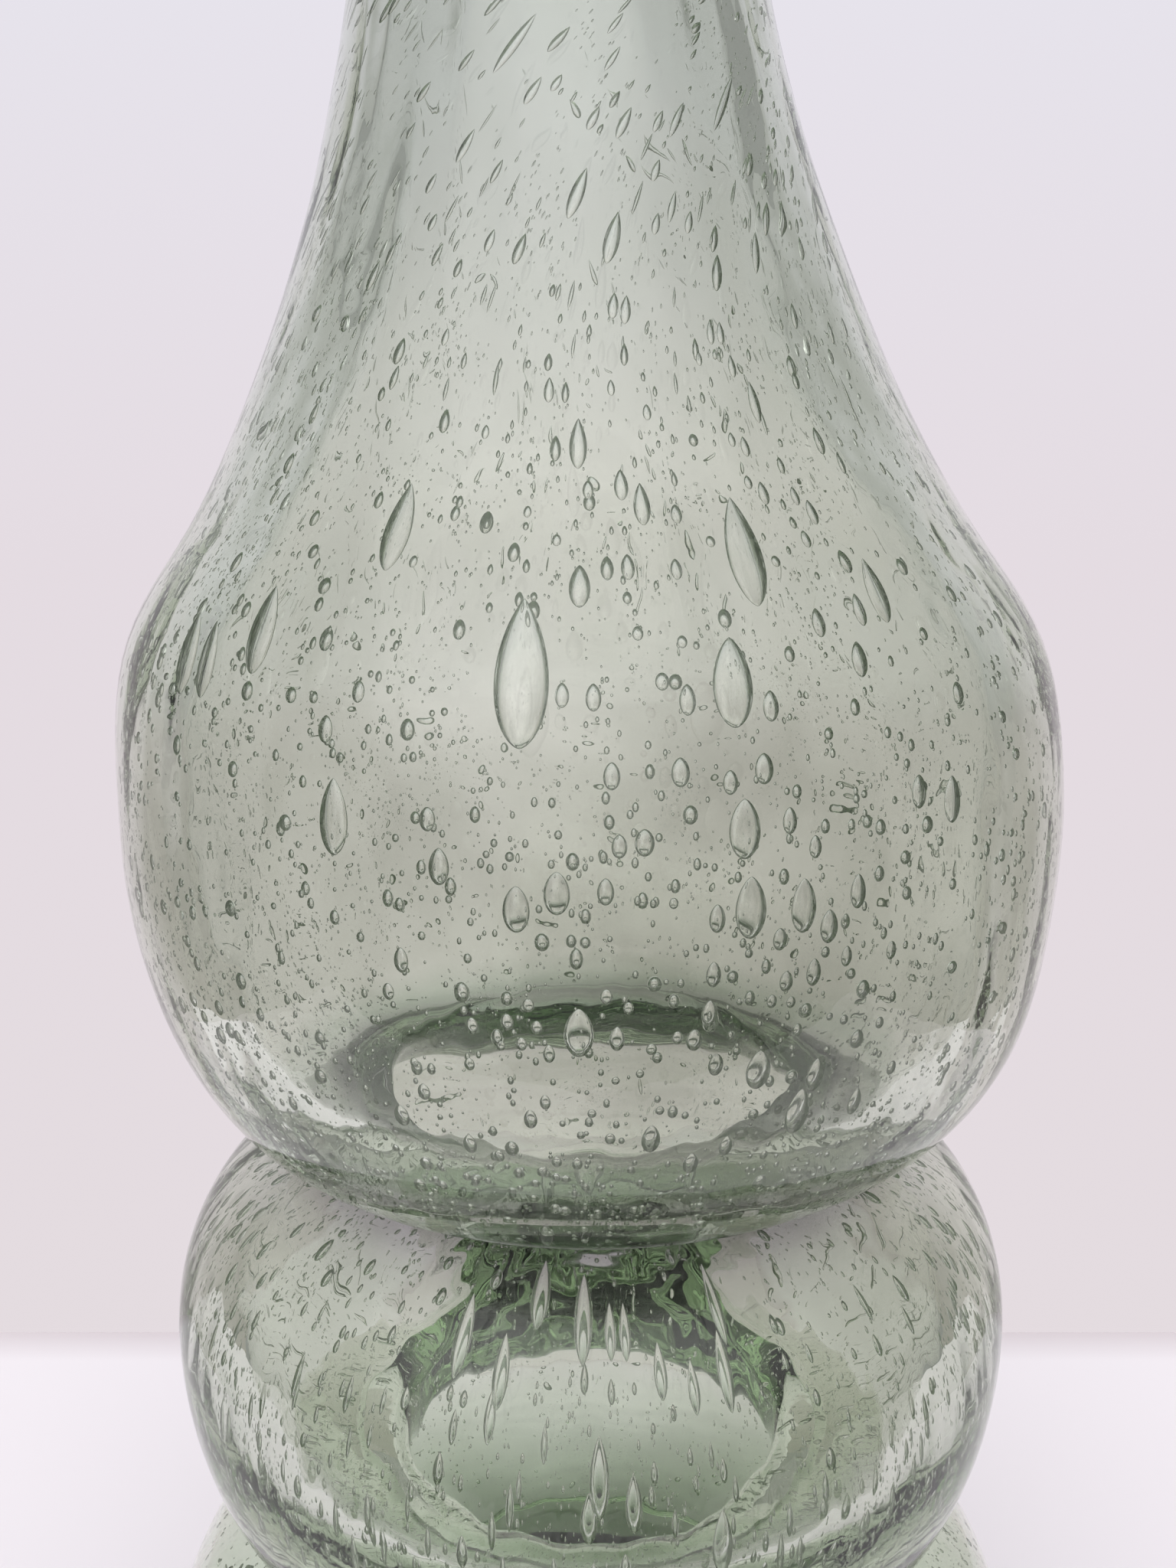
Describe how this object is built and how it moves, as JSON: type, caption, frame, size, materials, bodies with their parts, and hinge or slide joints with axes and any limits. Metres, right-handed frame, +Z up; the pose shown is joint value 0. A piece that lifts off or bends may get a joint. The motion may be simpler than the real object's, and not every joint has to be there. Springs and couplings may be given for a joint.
{
  "type": "bud vase",
  "caption": "Slim hand-blown bud vase in pale grey-green bubbled glass: stacked round bulbs, thick nipped-in waists, a tall drawn neck and a rounded lip.",
  "frame": {"origin": "centre of the foot's resting face", "axes": "+Z up along the vase's axis, -Y towards the viewer of the picture, so that the neck leans towards -X"},
  "size_m": [0.0736, 0.0736, 0.2],
  "materials": {
    "bubbled_glass": "fire-polished, clear pale grey-green, full of trapped air bubbles"
  },
  "bodies": {
    "root": {"foot_pad": "bubbled_glass", "base_bulb": "bubbled_glass", "middle_bulb": "bubbled_glass", "upper_bulb": "bubbled_glass", "lip_wrap": "bubbled_glass"}
  },
  "joints": []
}
